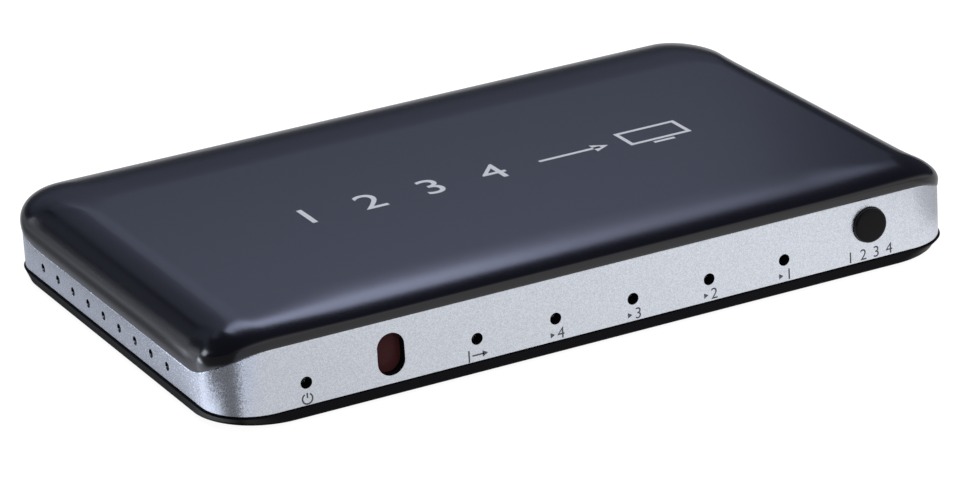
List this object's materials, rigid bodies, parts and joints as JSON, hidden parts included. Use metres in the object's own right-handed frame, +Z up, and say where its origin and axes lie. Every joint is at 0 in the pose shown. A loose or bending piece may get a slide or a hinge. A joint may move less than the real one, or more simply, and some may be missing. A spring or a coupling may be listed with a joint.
{
  "type": "video switch box",
  "caption": "Slim desktop video switch box: charcoal cover, silver band with status lamps, infrared window, select button and side vents, and video sockets at the rear.",
  "frame": {"origin": "middle of the bounding box's underside, on the desk plane under the feet", "axes": "+X along the front to the right as seen from the front, +Y from the front to the rear, +Z up"},
  "size_m": [0.1356, 0.09, 0.0164],
  "materials": {
    "cover": "satin charcoal blue-grey moulding",
    "silver": "fine bead-blasted silver with a light sparkle",
    "base": "near-black fine-grain moulding",
    "rubber": "matt self-adhesive pad",
    "screw": "black zinc plate",
    "tinned": "tin or nickel plate",
    "gilt": "thin gold plate",
    "board": "green solder mask over glass-fibre board",
    "insulator": "black moulded thermoplastic",
    "lamp": "water-clear epoxy, unlit",
    "window": "dark red infrared-pass plastic",
    "button": "black moulded plastic, satin",
    "chip": "black moulded package",
    "can": "bare aluminium can",
    "ceramic": "tan ceramic chip part",
    "resistor": "black ceramic chip part"
  },
  "bodies": {
    "case": {"top_cover": "cover", "side_frame": "silver", "bottom_cover": "base", "rubber_feet": "rubber", "case_screws": "screw", "circuit_board": "board", "board_screws": "tinned", "video_out_shell": "tinned", "video_in4_shell": "tinned", "video_in3_shell": "tinned", "video_in2_shell": "tinned", "video_in1_shell": "tinned", "video_out_insulator": "insulator", "video_in4_insulator": "insulator", "video_in3_insulator": "insulator", "video_in2_insulator": "insulator", "video_in1_insulator": "insulator", "video_out_contacts": "gilt", "video_in4_contacts": "gilt", "video_in3_contacts": "gilt", "video_in2_contacts": "gilt", "video_in1_contacts": "gilt", "dc_jack_body": "insulator", "dc_jack_pin": "tinned", "dc_jack_spring_contact": "tinned", "led_power": "lamp", "led_out": "lamp", "led_in4": "lamp", "led_in3": "lamp", "led_in2": "lamp", "led_in1": "lamp", "led_leads": "tinned", "ir_window": "window", "ir_receiver": "chip", "ir_receiver_legs": "tinned", "switch_dome": "tinned", "switch_housing": "insulator", "switch_bracket": "tinned", "switch_pins": "tinned", "switch_chip": "chip", "switch_chip_leads": "tinned", "microcontroller": "chip", "microcontroller_leads": "tinned", "edid_memories": "chip", "edid_memory_leads": "tinned", "voltage_regulators": "chip", "regulator_leads": "tinned", "crystal": "tinned", "electrolytic_capacitors": "can", "ceramic_capacitors": "ceramic", "resistors": "resistor"},
    "button": {"select_button": "button", "switch_plunger": "button"}
  },
  "joints": [
    {"name": "select_press", "type": "slide", "parent": "case", "child": "button", "axis": [0, 1, 0], "range_m": [0, 0.00025], "stiffness_N_per_m": 5000, "deforming": ["switch_dome"]}
  ]
}
